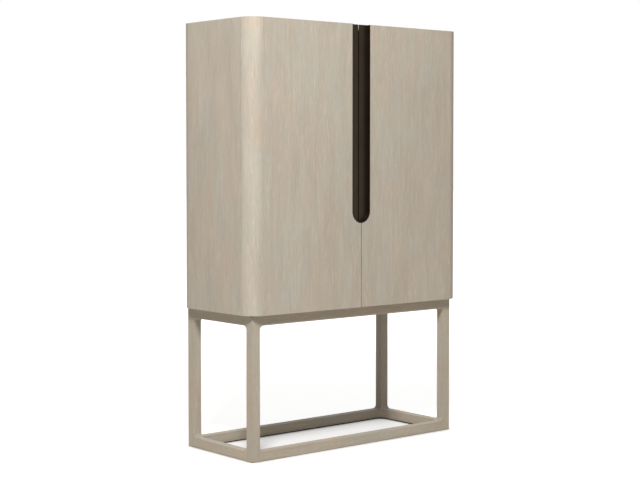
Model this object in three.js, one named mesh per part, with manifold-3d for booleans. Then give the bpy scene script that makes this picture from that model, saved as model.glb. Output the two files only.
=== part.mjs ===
// Bar cabinet with a fold-out serving shelf.
// A tall oak box with rounded upright corners stands on an open oak frame. Two doors wrap round the
// front corners and share one long bronze finger slot. Behind the right door a serving shelf carries
// a leaf that folds out over the front on a long hinge, held up by two pull-out bearers.
// Millimetres. +X is to the right, -Y to the front, +Z up. The origin is on the floor, under the middle.

import * as THREE from 'three'
import { mergeVertices } from 'three/addons/utils/BufferGeometryUtils.js'
import Module from 'manifold-3d'

// Whole cabinet
const WIDTH = 1144
const DEPTH = 475
const HEIGHT = 1740
const BASE_HEIGHT = 578 // floor to the underside of the box
const CORNER_RADIUS = 63 // outside radius of the four upright corners

// Gaps and cutting
const REVEAL = 2 // open gap round the doors
const FIT = 0.3 // gap between fitted pieces
const OVERRUN = 5 // how far a cutting shape runs past what it cuts

// Steps in a quarter turn
const CORNER_STEPS = 10
const SMALL_STEPS = 5

// Base frame
const MEMBER = 38 // square stock of the legs and rails
const SIDE_OVERHANG = 29 // how far the box stands out past the frame
const FRONT_OVERHANG = 29
const BACK_OVERHANG = 10
const OPENING_RADIUS = 18 // rounding where a rail meets a leg
const PLAN_RADIUS = 22 // rounding between two foot rails, seen from above
const GLIDE_HEIGHT = 2
const GLIDE_RADIUS = 13
const SPACER_HEIGHT = 4 // board that makes the shadow gap under the box
const SPACER_INSET = 8

// Box boards and doors
const PANEL = 24
const PARTITION = 20
const PARTITION_SETBACK = 6 // behind the front edges of the top and bottom
const DOOR_THICKNESS = 30

// Finger slot and its bronze lining
const SLOT_HALF_WIDTH = 49
const SLOT_LEVEL = 347 // lowest point of the round end, above the underside of the box
const PULL_WALL = 3
const PULL_DEPTH = 18 // front of the door to the floor of the slot
const PULL_FLOOR = 2
const PULL_GAP = 5 // open gap between the two halves of the floor

// Concealed door hinges
const HINGE_INSET = 13 // hinge centre to the outside face
const HINGE_HALF_WIDTH = 6.5
const HINGE_HALF_HEIGHT = 48
const HINGE_DEPTH = 16
const HINGE_END_DISTANCE = 130

// Magnetic catches
const CATCH_WIDTH = 12
const CATCH_DEPTH = 30
const CATCH_HEIGHT = 44
const CATCH_LEVEL = 180 // above the underside of the box
const STRIKE_WIDTH = 14
const STRIKE_HEIGHT = 36
const STRIKE_THICKNESS = 1.2

// Serving shelf and its fold-out leaf
const SERVING_LEVEL = 432 // top of the shelf above the underside of the box
const SERVING_SETBACK = 6 // from the back of the door
const SERVING_THICKNESS = 20
const LEAF_THICKNESS = 20
const LEAF_BACK_GAP = 114.5 // room behind the leaf when it is shut
const LEAF_LEFT_GAP = 54
const LEAF_CORNER_GAP = 15
const LEAF_EDGE_GAP = 0.5

// Long hinge of the leaf
const KNUCKLE_COUNT = 9
const KNUCKLE_RADIUS = 3
const KNUCKLE_STEPS = 14
const PIN_RADIUS = 1.2
const PLATE_THICKNESS = 1.6
const PLATE_WIDTH = 20
const LONG_HINGE_END_GAP = 12

// Pull-out bearers and their guides
const BEARER_WIDTH = 20
const BEARER_HEIGHT = 40
const BEARER_BACK_GAP = 71
const BEARER_SETBACK = 14
const GROOVE_DEPTH = 8
const GROOVE_HEIGHT = 10
const GROOVE_STOP = 40 // solid wood left in front of the groove
const GUIDE_WIDTH = 18

// Mirror and glass shelf above the serving shelf
const MIRROR_THICKNESS = 4
const MIRROR_HEIGHT = 370
const GLASS_THICKNESS = 8
const GLASS_SETBACK = 26 // behind the front edge of the side
const GLASS_BACK_GAP = 3 // in front of the rounded back corner
const GLASS_GROOVE = 5
const GLASS_RISE = 8 // clear height between mirror and glass

// Left compartment
const SHELF_THICKNESS = 20
const SHELF_SETBACK = 10
const BAY_HEIGHT = 340
const BAY_COUNT = 4
const DIVIDER_THICKNESS = 12
const UPPER_SHELF_LEVEL = 684 // underside, above the underside of the box
const RACK_THICKNESS = 16
const RACK_BACK_GAP = 23 // in front of the rounded back corner
const RACK_SETBACK = 26
const RACK_DROP = 28 // room for the foot of a glass
const RACK_CLEAT = 20
const RACK_SLOT_COUNT = 5
const RACK_SLOT_WIDTH = 30
const RACK_SLOT_MARGIN = 40

// Places worked out from the sizes
const QUARTER = Math.PI / 2
const boxHeight = HEIGHT - BASE_HEIGHT
const boxCeiling = boxHeight - PANEL
const cornerX = WIDTH / 2 - CORNER_RADIUS
const seamY = -DEPTH / 2 + CORNER_RADIUS // where a door meets the side
const backCornerY = DEPTH / 2 - CORNER_RADIUS
const doorFront = -DEPTH / 2
const doorBack = doorFront + DOOR_THICKNESS
const boardFront = doorBack + REVEAL
const innerRight = WIDTH / 2 - PANEL
const innerBack = DEPTH / 2 - PANEL
const partitionFace = PARTITION / 2

const wasm = await Module()
wasm.setup()

function material(color, roughness, metalness = 0) {
  return new THREE.MeshStandardMaterial({ color, roughness, metalness })
}

const finish = {
  oak: () => material(0xb8a890, 0.62),
  oakInside: () => material(0xae9e86, 0.66),
  bronze: () => material(0x3a2f26, 0.42, 0.9),
  steel: () => material(0xa9a9a6, 0.35, 1),
  brass: () => material(0xa88a52, 0.35, 1),
  dark: () => material(0x2c2a28, 0.7),
  mirror: () => material(0xdfe3e4, 0.04, 1),
  glass: () => material(0xcfe0db, 0.05),
}

function add(group, name, geometry, surface) {
  const mesh = new THREE.Mesh(geometry, surface)
  mesh.name = name
  group.add(mesh)
  return mesh
}

// Outlines

function arc(x, y, radius, start, end, steps = CORNER_STEPS) {
  const points = []
  for (let step = 0; step <= steps; step += 1) {
    const angle = start + (end - start) * step / steps
    points.push([x + radius * Math.cos(angle), y + radius * Math.sin(angle)])
  }
  return points
}

function mirrored(outline) {
  return outline.map(([x, y]) => [-x, y]).reverse()
}

function sided(outline, side) {
  return side < 0 ? mirrored(outline) : outline
}

// Solids pushed out of an outline

function prismZ(outline, low, high) {
  const shape = new THREE.Shape(outline.map(([x, y]) => new THREE.Vector2(x, y)))
  const geometry = new THREE.ExtrudeGeometry(shape, { depth: high - low, bevelEnabled: false })
  return geometry.translate(0, 0, low)
}

function prismY(outline, front, back) {
  return prismZ(outline, -back, -front).rotateX(QUARTER)
}

function prismX(outline, left, right) {
  return prismZ(outline, left, right).rotateX(QUARTER).rotateZ(QUARTER)
}

function block([left, right], [front, back], [low, high]) {
  const geometry = new THREE.BoxGeometry(Math.abs(right - left), back - front, high - low)
  return geometry.translate((left + right) / 2, (front + back) / 2, (low + high) / 2)
}

function rodX(left, right, y, z, radius) {
  const geometry = new THREE.CylinderGeometry(radius, radius, right - left, KNUCKLE_STEPS)
  return geometry.rotateZ(QUARTER).translate((left + right) / 2, y, z)
}

// Joining and cutting

function solid(geometry) {
  const bare = geometry.clone()
  bare.deleteAttribute('normal')
  bare.deleteAttribute('uv')
  const merged = mergeVertices(bare)
  const mesh = new wasm.Mesh({
    numProp: 3,
    vertProperties: merged.attributes.position.array,
    triVerts: Uint32Array.from(merged.index.array),
  })
  return new wasm.Manifold(mesh)
}

function geometryOf(body) {
  const mesh = body.getMesh()
  const geometry = new THREE.BufferGeometry()
  geometry.setAttribute('position', new THREE.BufferAttribute(mesh.vertProperties, 3))
  geometry.setIndex(new THREE.BufferAttribute(mesh.triVerts, 1))
  geometry.computeVertexNormals()
  return geometry
}

function joined(...pieces) {
  return geometryOf(pieces.map(solid).reduce((whole, piece) => whole.add(piece)))
}

function cut(blank, ...tools) {
  return geometryOf(tools.map(solid).reduce((whole, tool) => whole.subtract(tool), solid(blank)))
}

// Base frame: four legs, four foot rails, four top rails, a spacer board and four glides

const frameRight = WIDTH / 2 - SIDE_OVERHANG
const frameFront = -DEPTH / 2 + FRONT_OVERHANG
const frameBack = DEPTH / 2 - BACK_OVERHANG
const frameTop = BASE_HEIGHT - SPACER_HEIGHT
const openingX = frameRight - MEMBER
const openingFront = frameFront + MEMBER
const openingBack = frameBack - MEMBER

function footRailOutline(start, end) {
  const top = GLIDE_HEIGHT + MEMBER
  const centre = top + OPENING_RADIUS
  return [
    [start, GLIDE_HEIGHT],
    [end, GLIDE_HEIGHT],
    ...arc(end - OPENING_RADIUS, centre, OPENING_RADIUS, 0, -QUARTER, SMALL_STEPS),
    ...arc(start + OPENING_RADIUS, centre, OPENING_RADIUS, -QUARTER, -2 * QUARTER, SMALL_STEPS),
  ]
}

function topRailOutline(start, end) {
  return footRailOutline(start, end).map(([along, z]) => [along, frameTop + GLIDE_HEIGHT - z])
}

// The rounding that fills the inside corner between a side foot rail and a cross rail
function planRounding(side, corner, towards) {
  const centreX = openingX - PLAN_RADIUS
  const centreY = corner + towards * PLAN_RADIUS
  const turn = -towards * QUARTER
  const outline = [
    [openingX + OVERRUN, corner],
    ...arc(centreX, centreY, PLAN_RADIUS, turn, 0, SMALL_STEPS),
    [openingX + OVERRUN, centreY],
  ]
  return prismZ(sided(outline, side), GLIDE_HEIGHT, GLIDE_HEIGHT + MEMBER)
}

function buildBase() {
  const base = new THREE.Group()
  const crossRails = [['front', frameFront, openingFront], ['rear', openingBack, frameBack]]
  for (const [place, front, back] of crossRails) {
    const foot = prismY(footRailOutline(-openingX, openingX), front, back)
    const top = prismY(topRailOutline(-openingX, openingX), front, back)
    add(base, `foot_rail_${place}`, foot, finish.oak())
    add(base, `top_rail_${place}`, top, finish.oak())
  }
  for (const [place, side] of [['left', -1], ['right', 1]]) {
    const low = Math.min(side * openingX, side * frameRight)
    const high = low + MEMBER
    const straight = prismX(footRailOutline(openingFront, openingBack), low, high)
    const foot = joined(
      straight,
      planRounding(side, openingFront, 1),
      planRounding(side, openingBack, -1),
    )
    const top = prismX(topRailOutline(openingFront, openingBack), low, high)
    add(base, `foot_rail_${place}`, foot, finish.oak())
    add(base, `top_rail_${place}`, top, finish.oak())
    for (const [row, front, back] of crossRails) {
      const leg = block([low, high], [front, back], [GLIDE_HEIGHT, frameTop])
      add(base, `leg_${row}_${place}`, leg, finish.oak())
      const round = new THREE.CylinderGeometry(GLIDE_RADIUS, GLIDE_RADIUS, GLIDE_HEIGHT, KNUCKLE_STEPS)
      const glide = add(base, `glide_${row}_${place}`, round.rotateX(QUARTER), finish.dark())
      glide.position.set((low + high) / 2, (front + back) / 2, GLIDE_HEIGHT / 2)
    }
  }
  const spacer = block(
    [-frameRight + SPACER_INSET, frameRight - SPACER_INSET],
    [frameFront + SPACER_INSET, frameBack - SPACER_INSET],
    [frameTop, BASE_HEIGHT],
  )
  add(base, 'spacer_board', spacer, finish.dark())
  return base
}

// Boards that lie inside the box. This is their right edge, from the front corner to the back one

function rightEdge(front) {
  const edge = innerRight - FIT
  const backArc = arc(cornerX, backCornerY, CORNER_RADIUS - PANEL - FIT, 0, QUARTER)
  if (front >= seamY) {
    return [[edge, front], ...backArc]
  }
  return [...arc(cornerX, seamY, seamY - front, -QUARTER, 0), [edge, seamY], ...backArc]
}

// A board in one compartment, from the partition to the side
function compartmentBoard(side, front, low, high) {
  const nearEdge = partitionFace + FIT
  const outline = [[nearEdge, front], ...rightEdge(front), [nearEdge, innerBack - FIT]]
  return prismZ(sided(outline, side), low, high)
}

// Doors, their hinges and the finger slot

const slotCentre = SLOT_LEVEL + SLOT_HALF_WIDTH
const hingeLevels = [HINGE_END_DISTANCE, boxHeight / 2, boxHeight - HINGE_END_DISTANCE]
const movingHingeBack = seamY - REVEAL
const sides = [['left', -1], ['right', 1]]

function slotOutline(halfWidth, top) {
  return [
    ...arc(0, slotCentre, halfWidth, -2 * QUARTER, 0, 2 * CORNER_STEPS),
    [halfWidth, top],
    [-halfWidth, top],
  ]
}

function doorArc(radius) {
  return arc(cornerX, seamY, radius, -QUARTER, -Math.asin(REVEAL / radius))
}

function hingeShape(side, level, growth, front, back) {
  const x = side * (WIDTH / 2 - HINGE_INSET)
  const halfWidth = HINGE_HALF_WIDTH + growth
  const rise = HINGE_HALF_HEIGHT - HINGE_HALF_WIDTH
  const outline = [
    ...arc(x, level + rise, halfWidth, 0, 2 * QUARTER, SMALL_STEPS),
    ...arc(x, level - rise, halfWidth, 2 * QUARTER, 4 * QUARTER, SMALL_STEPS),
  ]
  return prismY(outline, front, back)
}

function doorMortise(side, level) {
  const front = movingHingeBack - HINGE_DEPTH - FIT
  return hingeShape(side, level, FIT, front, movingHingeBack + REVEAL)
}

function sideMortise(side, level) {
  const back = seamY + HINGE_DEPTH + FIT
  return hingeShape(side, level, FIT, seamY - REVEAL, back)
}

function buildDoor(name, side) {
  const door = new THREE.Group()
  const outline = [
    [REVEAL / 2, doorFront],
    ...doorArc(CORNER_RADIUS),
    ...doorArc(CORNER_RADIUS - DOOR_THICKNESS).reverse(),
    [REVEAL / 2, doorBack],
  ]
  const panel = cut(
    prismZ(sided(outline, side), 0, boxHeight),
    prismY(slotOutline(SLOT_HALF_WIDTH, boxHeight + OVERRUN), doorFront - OVERRUN, doorBack + OVERRUN),
    ...hingeLevels.map((level) => doorMortise(side, level)),
  )
  add(door, `door_${name}`, panel, finish.oak())

  const lining = SLOT_HALF_WIDTH - FIT
  const otherHalf = block(
    [side * REVEAL / 2, -side * SLOT_HALF_WIDTH],
    [doorFront - OVERRUN, doorBack + OVERRUN],
    [0, boxHeight + OVERRUN],
  )
  const wall = lining - PULL_WALL
  const hollow = slotOutline(wall, boxHeight + OVERRUN)
  const floorFront = doorFront + PULL_DEPTH
  const floorBack = floorFront + PULL_FLOOR
  const floorGap = block(
    [-PULL_GAP / 2, PULL_GAP / 2],
    [floorFront - OVERRUN, floorBack + OVERRUN],
    [slotCentre - wall + PULL_FLOOR, boxHeight + OVERRUN],
  )
  const pull = cut(
    prismY(slotOutline(lining, boxHeight), doorFront, doorBack),
    prismY(hollow, doorFront - OVERRUN, floorFront),
    prismY(hollow, floorBack, doorBack + OVERRUN),
    floorGap,
    otherHalf,
  )
  add(door, `pull_${name}`, pull, finish.bronze())

  hingeLevels.forEach((level, index) => {
    const half = hingeShape(side, level, 0, movingHingeBack - HINGE_DEPTH, movingHingeBack)
    add(door, `hinge_${name}_${index + 1}_door_half`, half, finish.steel())
  })

  const strikeX = side * (partitionFace + CATCH_WIDTH / 2)
  const strike = block(
    [strikeX - STRIKE_WIDTH / 2, strikeX + STRIKE_WIDTH / 2],
    [doorBack, doorBack + STRIKE_THICKNESS],
    [CATCH_LEVEL - STRIKE_HEIGHT / 2, CATCH_LEVEL + STRIKE_HEIGHT / 2],
  )
  add(door, `strike_plate_${name}`, strike, finish.steel())
  return door
}

// Box: two sides with rounded back corners, back, top, bottom and partition

const servingFront = doorBack + SERVING_SETBACK
const glassLow = SERVING_LEVEL + MIRROR_HEIGHT + GLASS_RISE
const glassFront = seamY + GLASS_SETBACK

function glassSolid(growth) {
  return block(
    [partitionFace - GLASS_GROOVE + FIT - growth, innerRight + GLASS_GROOVE - FIT + growth],
    [glassFront - growth, backCornerY - GLASS_BACK_GAP + growth],
    [glassLow - growth, glassLow + GLASS_THICKNESS + growth],
  )
}

function buildSide(name, side) {
  const outline = [
    [innerRight, seamY],
    [WIDTH / 2, seamY],
    ...arc(cornerX, backCornerY, CORNER_RADIUS, 0, QUARTER),
    ...arc(cornerX, backCornerY, CORNER_RADIUS - PANEL, QUARTER, 0),
  ]
  const cuts = hingeLevels.map((level) => sideMortise(side, level))
  if (side > 0) {
    cuts.push(glassSolid(FIT))
  }
  const panel = cut(prismZ(sided(outline, side), 0, boxHeight), ...cuts)
  return add(new THREE.Group(), `side_${name}`, panel, finish.oak())
}

function buildCarcass() {
  const carcass = new THREE.Group()
  for (const [name, side] of sides) {
    carcass.add(buildSide(name, side))
    hingeLevels.forEach((level, index) => {
      const half = hingeShape(side, level, 0, seamY, seamY + HINGE_DEPTH)
      add(carcass, `hinge_${name}_${index + 1}_side_half`, half, finish.steel())
    })
    const catchFront = doorBack + STRIKE_THICKNESS + FIT
    const catchBody = block(
      [side * partitionFace, side * (partitionFace + CATCH_WIDTH)],
      [catchFront, catchFront + CATCH_DEPTH],
      [CATCH_LEVEL - CATCH_HEIGHT / 2, CATCH_LEVEL + CATCH_HEIGHT / 2],
    )
    add(carcass, `magnet_catch_${name}`, catchBody, finish.dark())
  }
  const back = block([-cornerX, cornerX], [innerBack, DEPTH / 2], [0, boxHeight])
  add(carcass, 'back_panel', back, finish.oak())
  const boardOutline = [...rightEdge(boardFront), ...mirrored(rightEdge(boardFront))]
  add(carcass, 'bottom_panel', prismZ(boardOutline, 0, PANEL), finish.oakInside())
  add(carcass, 'top_panel', prismZ(boardOutline, boxCeiling, boxHeight), finish.oak())
  const partition = cut(
    block([-partitionFace, partitionFace], [boardFront + PARTITION_SETBACK, innerBack],
      [PANEL, boxCeiling]),
    glassSolid(FIT),
  )
  add(carcass, 'partition', partition, finish.oakInside())
  return carcass
}

// Right compartment: serving shelf with its folding leaf, bearers, mirror and glass shelf.
// Heights in this group are measured from the top of the serving shelf

const leafLeft = partitionFace + LEAF_LEFT_GAP
const leafRight = cornerX - LEAF_CORNER_GAP
const longHingeLeft = leafLeft + LONG_HINGE_END_GAP
const longHingeRight = leafRight - LONG_HINGE_END_GAP
const knuckleLength = (longHingeRight - longHingeLeft) / KNUCKLE_COUNT
const notchRadius = KNUCKLE_RADIUS + 2 * FIT

function knuckle(index, growth) {
  const left = longHingeLeft + index * knuckleLength
  return rodX(left + FIT / 2 - growth, left + knuckleLength - FIT / 2 + growth, servingFront, 0,
    KNUCKLE_RADIUS + growth)
}

function knuckles(parity, growth) {
  const list = []
  for (let index = parity; index < KNUCKLE_COUNT; index += 2) {
    list.push(knuckle(index, growth))
  }
  return list
}

function plateSlot(low, high, growth) {
  return block(
    [longHingeLeft - growth, longHingeRight + growth],
    [servingFront - growth, servingFront + PLATE_WIDTH + growth],
    [low, high],
  )
}

function hingeHalf(low, parity) {
  const plate = block([longHingeLeft, longHingeRight], [servingFront, servingFront + PLATE_WIDTH],
    [low, low + PLATE_THICKNESS])
  return cut(joined(plate, ...knuckles(parity, 0)), ...knuckles(1 - parity, FIT))
}

function buildServing() {
  const serving = new THREE.Group()
  const notch = rodX(longHingeLeft - FIT, longHingeRight + FIT, servingFront, 0, notchRadius)
  const shelf = cut(
    compartmentBoard(1, servingFront, -SERVING_THICKNESS, 0),
    plateSlot(-PLATE_THICKNESS - FIT, OVERRUN, FIT),
    notch,
  )
  add(serving, 'serving_shelf', shelf, finish.oakInside())

  const leafFront = servingFront + LEAF_EDGE_GAP
  const leaf = cut(
    block([leafLeft, leafRight], [leafFront, innerBack - LEAF_BACK_GAP], [FIT, FIT + LEAF_THICKNESS]),
    plateSlot(-OVERRUN, FIT + PLATE_THICKNESS + FIT, FIT),
    notch,
  )
  add(serving, 'fold_out_leaf', leaf, finish.oak())

  const pin = rodX(longHingeLeft, longHingeRight, servingFront, 0, PIN_RADIUS)
  const bore = rodX(longHingeLeft - OVERRUN, longHingeRight + OVERRUN, servingFront, 0, PIN_RADIUS + FIT)
  const shelfHalf = joined(hingeHalf(-PLATE_THICKNESS, 0), pin)
  const leafHalf = cut(hingeHalf(FIT, 1), bore)
  add(serving, 'leaf_hinge_shelf_half', shelfHalf, finish.brass())
  add(serving, 'leaf_hinge_leaf_half', leafHalf, finish.brass())

  const bearerFront = servingFront + BEARER_SETBACK
  const bearerBack = innerBack - BEARER_BACK_GAP
  const bearerTop = -Math.max(SERVING_THICKNESS + FIT, LEAF_THICKNESS + 2 * FIT)
  const grooveMiddle = bearerTop - BEARER_HEIGHT / 2
  const bearers = [['left', leafLeft, 1], ['right', leafRight, -1]]
  for (const [name, outer, inward] of bearers) {
    const inner = outer + inward * BEARER_WIDTH
    const grooveHalf = GROOVE_HEIGHT / 2
    const bearer = cut(
      block([outer, inner], [bearerFront, bearerBack], [bearerTop - BEARER_HEIGHT, bearerTop]),
      block(
        [inner - inward * GROOVE_DEPTH, inner + inward * OVERRUN],
        [bearerFront + GROOVE_STOP, bearerBack + OVERRUN],
        [grooveMiddle - grooveHalf, grooveMiddle + grooveHalf],
      ),
    )
    add(serving, `bearer_${name}`, bearer, finish.oak())
    const tongueHalf = grooveHalf - FIT
    const guideFace = inner + inward * FIT
    const tongue = [inner - inward * (GROOVE_DEPTH - FIT), guideFace + inward * OVERRUN]
    const guideLength = [bearerFront + GROOVE_STOP + FIT, bearerBack]
    const guide = joined(
      block([guideFace, guideFace + inward * GUIDE_WIDTH], guideLength,
        [bearerTop - BEARER_HEIGHT, -SERVING_THICKNESS]),
      block(tongue, guideLength, [grooveMiddle - tongueHalf, grooveMiddle + tongueHalf]),
    )
    add(serving, `bearer_guide_${name}`, guide, finish.oakInside())
  }
  const mirror = block([leafLeft, leafRight], [innerBack - MIRROR_THICKNESS, innerBack], [0, MIRROR_HEIGHT])
  add(serving, 'mirror', mirror, finish.mirror())
  serving.position.z = SERVING_LEVEL
  return serving
}

// Left compartment: bottle bays, shelves and a hanging rack for stemmed glasses

function buildLeftCompartment() {
  const left = new THREE.Group()
  const shelfFront = boardFront + SHELF_SETBACK
  const bayTop = PANEL + BAY_HEIGHT
  const lower = compartmentBoard(-1, shelfFront, bayTop, bayTop + SHELF_THICKNESS)
  const upper = compartmentBoard(-1, shelfFront, UPPER_SHELF_LEVEL, UPPER_SHELF_LEVEL + SHELF_THICKNESS)
  add(left, 'lower_shelf', lower, finish.oakInside())
  add(left, 'upper_shelf', upper, finish.oakInside())

  const room = innerRight - partitionFace
  const bayWidth = (room - (BAY_COUNT - 1) * DIVIDER_THICKNESS) / BAY_COUNT
  for (let index = 1; index < BAY_COUNT; index += 1) {
    const x = -innerRight + index * bayWidth + (index - 1) * DIVIDER_THICKNESS
    const divider = block([x, x + DIVIDER_THICKNESS], [shelfFront, innerBack], [PANEL, bayTop])
    add(left, `bottle_divider_${index}`, divider, finish.oakInside())
  }

  const rackFront = seamY + RACK_SETBACK
  const rackBack = backCornerY - RACK_BACK_GAP
  const rackTop = boxCeiling - RACK_DROP
  const rackLeft = -innerRight + FIT
  const rackRight = -partitionFace - FIT
  const rackLow = rackTop - RACK_THICKNESS
  const cleatTop = rackTop + RACK_DROP
  const cleat = joined(
    block([rackLeft, rackRight], [rackFront, rackBack], [rackLow, rackTop]),
    block([rackLeft, rackLeft + RACK_CLEAT], [rackFront, rackBack], [rackLow, cleatTop]),
    block([rackRight - RACK_CLEAT, rackRight], [rackFront, rackBack], [rackLow, cleatTop]),
    block([rackLeft, rackRight], [rackBack - RACK_CLEAT, rackBack], [rackLow, cleatTop]),
  )
  const pitch = (rackRight - rackLeft - 2 * RACK_CLEAT) / RACK_SLOT_COUNT
  const slots = []
  for (let index = 0; index < RACK_SLOT_COUNT; index += 1) {
    const x = rackLeft + RACK_CLEAT + (index + 1 / 2) * pitch
    const radius = RACK_SLOT_WIDTH / 2
    const end = rackBack - RACK_SLOT_MARGIN - radius
    const outline = [
      [x - radius, rackFront - OVERRUN],
      [x + radius, rackFront - OVERRUN],
      ...arc(x, end, radius, 0, 2 * QUARTER),
    ]
    slots.push(prismZ(outline, rackLow - OVERRUN, rackTop + OVERRUN))
  }
  add(left, 'stemware_rack', cut(cleat, ...slots), finish.oakInside())
  return left
}

const cabinet = new THREE.Group()
const box = new THREE.Group()
box.add(buildCarcass())
box.add(buildServing())
box.add(buildLeftCompartment())
for (const [name, side] of sides) {
  box.add(buildDoor(name, side))
}
add(box, 'glass_shelf', glassSolid(0), finish.glass())
box.position.z = BASE_HEIGHT
cabinet.add(buildBase())
cabinet.add(box)

export default cabinet
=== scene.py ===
import math

import bmesh
import bpy
from mathutils import Matrix, Vector


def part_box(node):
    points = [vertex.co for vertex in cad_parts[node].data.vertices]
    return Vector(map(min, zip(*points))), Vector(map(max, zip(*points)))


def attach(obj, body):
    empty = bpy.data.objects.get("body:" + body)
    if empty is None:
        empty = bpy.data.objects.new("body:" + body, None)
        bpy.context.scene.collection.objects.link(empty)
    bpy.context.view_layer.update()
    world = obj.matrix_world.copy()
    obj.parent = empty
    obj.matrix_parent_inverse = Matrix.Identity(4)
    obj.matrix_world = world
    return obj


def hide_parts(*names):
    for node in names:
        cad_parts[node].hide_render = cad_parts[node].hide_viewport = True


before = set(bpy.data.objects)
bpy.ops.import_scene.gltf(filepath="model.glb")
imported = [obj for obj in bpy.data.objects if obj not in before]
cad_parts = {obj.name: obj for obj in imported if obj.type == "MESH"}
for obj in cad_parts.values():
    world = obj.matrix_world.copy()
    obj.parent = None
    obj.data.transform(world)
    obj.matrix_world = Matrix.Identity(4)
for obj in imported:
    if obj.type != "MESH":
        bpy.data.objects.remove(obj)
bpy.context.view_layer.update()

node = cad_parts

# Camera. It stands to the front left at chest height, far off with a long lens, so that upright
# lines stay upright. It looks down by about two degrees.
CAMERA_PLACE = (-3.9238, -4.6410, 1.2062)
CAMERA_TILT_DOWN = 2.129
CAMERA_TURN_RIGHT = 40.051
LENS = 80.672
SENSOR_WIDTH = 36.0
LENS_SHIFT = -0.05
FARTHEST_SEEN = 200.0


def put_in_scene(name, data):
    """An object with this data, put in the scene."""
    made = bpy.data.objects.new(name, data)
    bpy.context.scene.collection.objects.link(made)
    return made


view_from = bpy.data.cameras.new("view_from_front_left")
view_from.lens = LENS
view_from.sensor_width = SENSOR_WIDTH
view_from.shift_y = LENS_SHIFT
view_from.clip_end = FARTHEST_SEEN
camera = put_in_scene("camera", view_from)
camera.location = CAMERA_PLACE
camera.rotation_euler = (
    math.radians(90.0 - CAMERA_TILT_DOWN),
    0.0,
    math.radians(-CAMERA_TURN_RIGHT),
)
bpy.context.scene.camera = camera
bpy.context.scene.view_settings.view_transform = "Standard"

# Studio. A large high lamp at the front left, a weaker one behind on the right, and the little light
# that a plain room adds. The pale floor throws light back up, and shows as white with faint shadows.
# Painted shade greys it under the cabinet and near the rails. It is dark only where the foot rails
# stand just above it, along the inside of the base frame, where a dark colour is painted as shade.
ROOM_LIGHT = 0.20
ROOM_COLOUR = (1.0, 1.0, 1.0, 1.0)
LAMP_AIM = Vector((0.0, 0.0, 0.95))
LAMPS = {
    # name: degrees left of straight in front, degrees up, distance, width, power, colour
    "key_lamp": (44.5, 42.0, 5.5, 1.3, 308.0, (0.965, 1.0, 1.06)),
    "rear_lamp": (-140.0, 38.0, 7.0, 2.5, 60.0, (1.0, 1.0, 1.0)),
}
FLOOR_SIZE = 60.0
FLOOR_COLOUR = (0.72, 0.68, 0.63, 1.0)
FLOOR_WHITE = (0.975, 0.99, 1.0, 1.0)
FLOOR_NEAR = 1.5
FLOOR_FAR = 4.0
FLOOR_LIFT_NEAR = 0.80
FLOOR_LIFT_FAR = 1.0
UNDER_HALF_SIZE = (0.50, 0.18, 0.0)
UNDER_FADE = 0.09
# A painted shadow: the share of the floor's white that is left under the cabinet.
UNDER_SHADOW_SHARE = 0.40
# Painted shade by ambient occlusion: a weaker white near the rails, and a dark colour in the gap under
# them.
SHADE_SAMPLES = 16
CONTACT_REACH = 0.05
CONTACT_CONTRAST = 2.0
PAINTED_GAP_SHADE_COLOUR = (0.05, 0.045, 0.04, 1.0)
GAP_REACH = 0.040
GAP_DARK = 0.60
GAP_CLEAR = 0.80
GAP_EDGE = 0.03


def feed(tree, made, inputs):
    """Sets a node's inputs, each by another node's output or by a value."""
    for name, value in inputs.items():
        if isinstance(value, bpy.types.NodeSocket):
            tree.links.new(value, made.inputs[name])
        else:
            made.inputs[name].default_value = value


def shader_node(tree, kind, inputs=None, **settings):
    """Adds a node."""
    made = tree.nodes.new(kind)
    for name, value in settings.items():
        setattr(made, name, value)
    feed(tree, made, inputs or {})
    return made


def product(tree, first, *others):
    """Values multiplied together."""
    result = first
    for other in others:
        result = shader_node(
            tree, "ShaderNodeMath", {0: result, 1: other}, operation="MULTIPLY"
        ).outputs[0]
    return result


def greater(tree, first, second):
    return shader_node(
        tree, "ShaderNodeMath", {0: first, 1: second}, operation="MAXIMUM"
    ).outputs[0]


def blend(tree, share, first, second, how="MIX"):
    """A colour between two others, by the share of the second. Sockets 6 and 7 take colours."""
    return shader_node(
        tree,
        "ShaderNodeMix",
        {"Factor": share, 6: first, 7: second},
        data_type="RGBA",
        blend_type=how,
    ).outputs[2]


def seen_directly(tree):
    """1 for what the camera sees, also in metal and through glass, and 0 for light on the object."""
    path = shader_node(tree, "ShaderNodeLightPath").outputs
    by_camera_or_metal = greater(tree, path["Is Camera Ray"], path["Is Glossy Ray"])
    return greater(tree, by_camera_or_metal, path["Is Transmission Ray"])


room = bpy.data.worlds.new("white_room")
bpy.context.scene.world = room
room.use_nodes = True
room_tree = room.node_tree
room_tree.nodes.clear()
room_strength = shader_node(
    room_tree,
    "ShaderNodeMix",
    {"Factor": seen_directly(room_tree), "A": ROOM_LIGHT, "B": 1.0},
    data_type="FLOAT",
)
room_light = shader_node(
    room_tree,
    "ShaderNodeBackground",
    {"Color": ROOM_COLOUR, "Strength": room_strength.outputs["Result"]},
)
shader_node(room_tree, "ShaderNodeOutputWorld", {"Surface": room_light.outputs[0]})

for lamp_name, (left, up, distance, width, power, colour) in LAMPS.items():
    softbox = bpy.data.lights.new(lamp_name, "AREA")
    softbox.shape = "DISK"
    softbox.size = width
    softbox.energy = power
    softbox.color = colour
    turn = math.radians(left)
    rise = math.radians(up)
    towards = Vector(
        (-math.sin(turn) * math.cos(rise), -math.cos(turn) * math.cos(rise), math.sin(rise))
    )
    lamp = put_in_scene(lamp_name, softbox)
    lamp.location = LAMP_AIM + towards * distance
    lamp.rotation_euler = towards.to_track_quat("Z", "Y").to_euler()

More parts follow.
